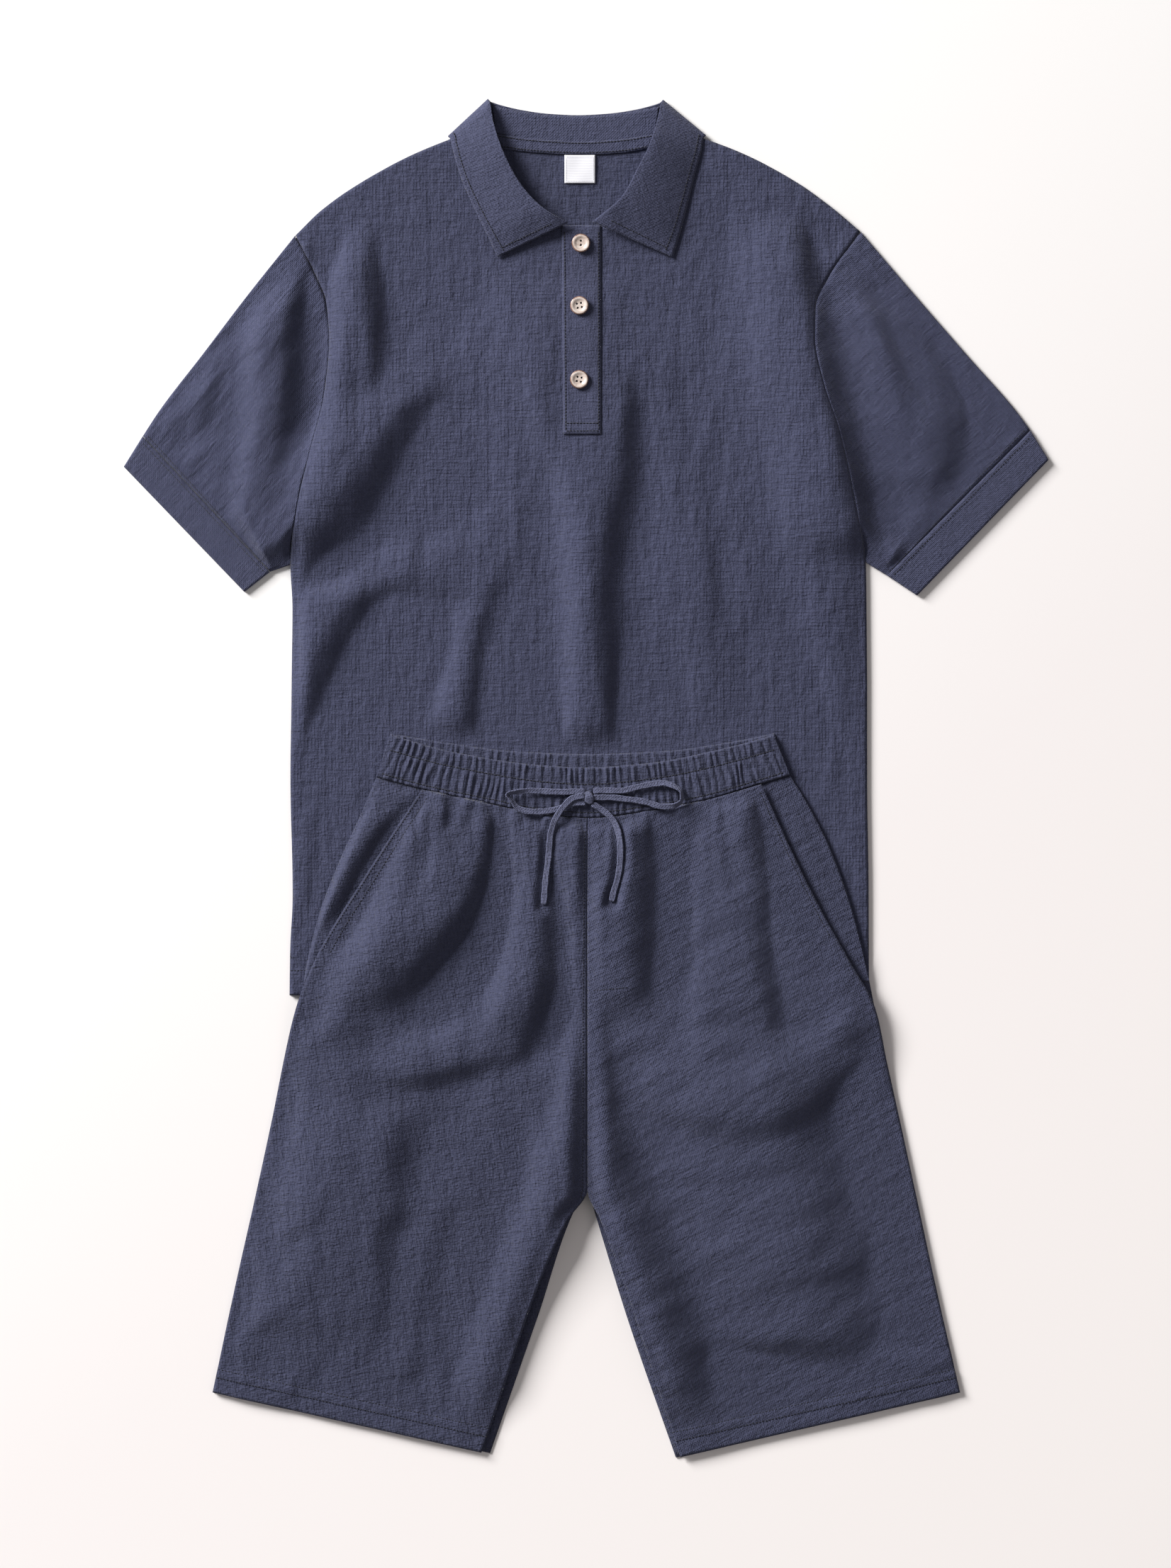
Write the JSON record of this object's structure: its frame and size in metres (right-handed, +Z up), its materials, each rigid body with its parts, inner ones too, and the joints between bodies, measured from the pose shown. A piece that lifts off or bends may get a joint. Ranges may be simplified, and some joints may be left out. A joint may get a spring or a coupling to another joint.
{
  "type": "short-sleeve linen shirt and shorts set",
  "caption": "Short-sleeve linen shirt with a polo collar and half placket, laid flat with matching drawstring shorts over its hem.",
  "frame": {"origin": "middle of the set's box, on the floor under it", "axes": "+X to the viewer's right, +Y from the leg hems to the collar, +Z up from the floor"},
  "size_m": [0.8477, 1.2467, 0.0153],
  "materials": {
    "shirt_cloth": "matte",
    "shorts_cloth": "matte",
    "drawstring_cloth": "matte",
    "label_cloth": "satin",
    "buttons": "satin"
  },
  "bodies": {
    "root": {"shirt_back": "shirt_cloth", "shirt_front": "shirt_cloth", "sleeve_left": "shirt_cloth", "sleeve_right": "shirt_cloth", "cuff_left": "shirt_cloth", "cuff_right": "shirt_cloth", "collar_stand": "shirt_cloth", "collar_fall": "shirt_cloth", "placket_top": "shirt_cloth", "placket_under": "shirt_cloth", "neck_tape": "shirt_cloth", "label": "label_cloth", "button_1": "buttons", "button_2": "buttons", "button_3": "buttons", "shorts_front_left": "shorts_cloth", "shorts_front_right": "shorts_cloth", "shorts_back_left": "shorts_cloth", "shorts_back_right": "shorts_cloth", "pocket_facing_left": "shorts_cloth", "pocket_facing_right": "shorts_cloth", "waistband_front": "shorts_cloth", "waistband_back": "shorts_cloth", "drawstring_knot": "drawstring_cloth", "drawstring_loop_left": "drawstring_cloth", "drawstring_loop_right": "drawstring_cloth", "drawstring_tail_left": "drawstring_cloth", "drawstring_tail_right": "drawstring_cloth"}
  },
  "joints": []
}
